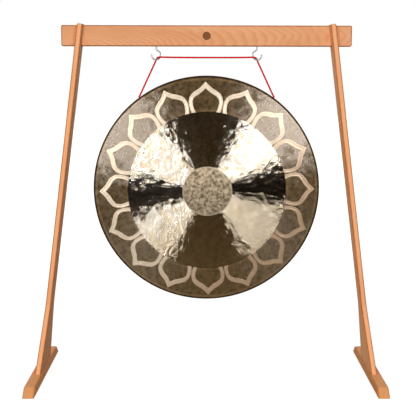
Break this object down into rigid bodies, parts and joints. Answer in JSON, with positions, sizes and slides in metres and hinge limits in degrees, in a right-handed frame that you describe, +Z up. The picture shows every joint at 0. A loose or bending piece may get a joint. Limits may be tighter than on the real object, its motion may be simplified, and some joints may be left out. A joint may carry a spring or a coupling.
{
  "type": "gong stand",
  "caption": "Free-standing wooden stand: two leaning posts on front-to-back feet, a crossbar with screw hooks, and a round gong hung in it on one cord.",
  "frame": {"origin": "on the floor, under the middle of the crossbar", "axes": "+Z up, +X to the right along the crossbar, -Y the front, the side that is struck"},
  "size_m": [1.248, 0.54, 1.2597],
  "materials": {
    "oiled_beech": "planed and oiled beech, satin",
    "dark_inlay": "dark wood dot, oiled, satin",
    "zinc_steel": "zinc-plated steel",
    "gong_bronze": "hammered bronze with a dark patina, an etched ring of petals and a brushed field",
    "red_cord": "braided red cord"
  },
  "bodies": {
    "stand": {"crossbar": "oiled_beech", "left_post": "oiled_beech", "right_post": "oiled_beech", "left_foot": "oiled_beech", "right_foot": "oiled_beech", "bar_dot": "dark_inlay", "left_front_dowel": "oiled_beech", "left_rear_dowel": "oiled_beech", "right_front_dowel": "oiled_beech", "right_rear_dowel": "oiled_beech", "left_bar_screw": "zinc_steel", "right_bar_screw": "zinc_steel", "left_bar_insert": "zinc_steel", "right_bar_insert": "zinc_steel", "left_front_foot_screw": "zinc_steel", "left_front_foot_insert": "zinc_steel", "left_rear_foot_screw": "zinc_steel", "left_rear_foot_insert": "zinc_steel", "right_front_foot_screw": "zinc_steel", "right_front_foot_insert": "zinc_steel", "right_rear_foot_screw": "zinc_steel", "right_rear_foot_insert": "zinc_steel", "left_hook": "zinc_steel", "right_hook": "zinc_steel", "cord_top_run": "red_cord"},
    "sling": {"left_cord_run": "red_cord", "right_cord_run": "red_cord"},
    "gong": {"gong": "gong_bronze", "left_cord_knot": "red_cord", "right_cord_knot": "red_cord"}
  },
  "joints": [
    {"name": "gong_swing", "type": "hinge", "parent": "stand", "child": "sling", "pos_m": [0, 0, 1.1365], "axis": [1, 0, 0], "range_deg": [-30, 30]},
    {"name": "gong_rock", "type": "hinge", "parent": "sling", "child": "gong", "pos_m": [0, 0, 1.00456], "axis": [1, 0, 0], "range_deg": [-10, 10]}
  ]
}
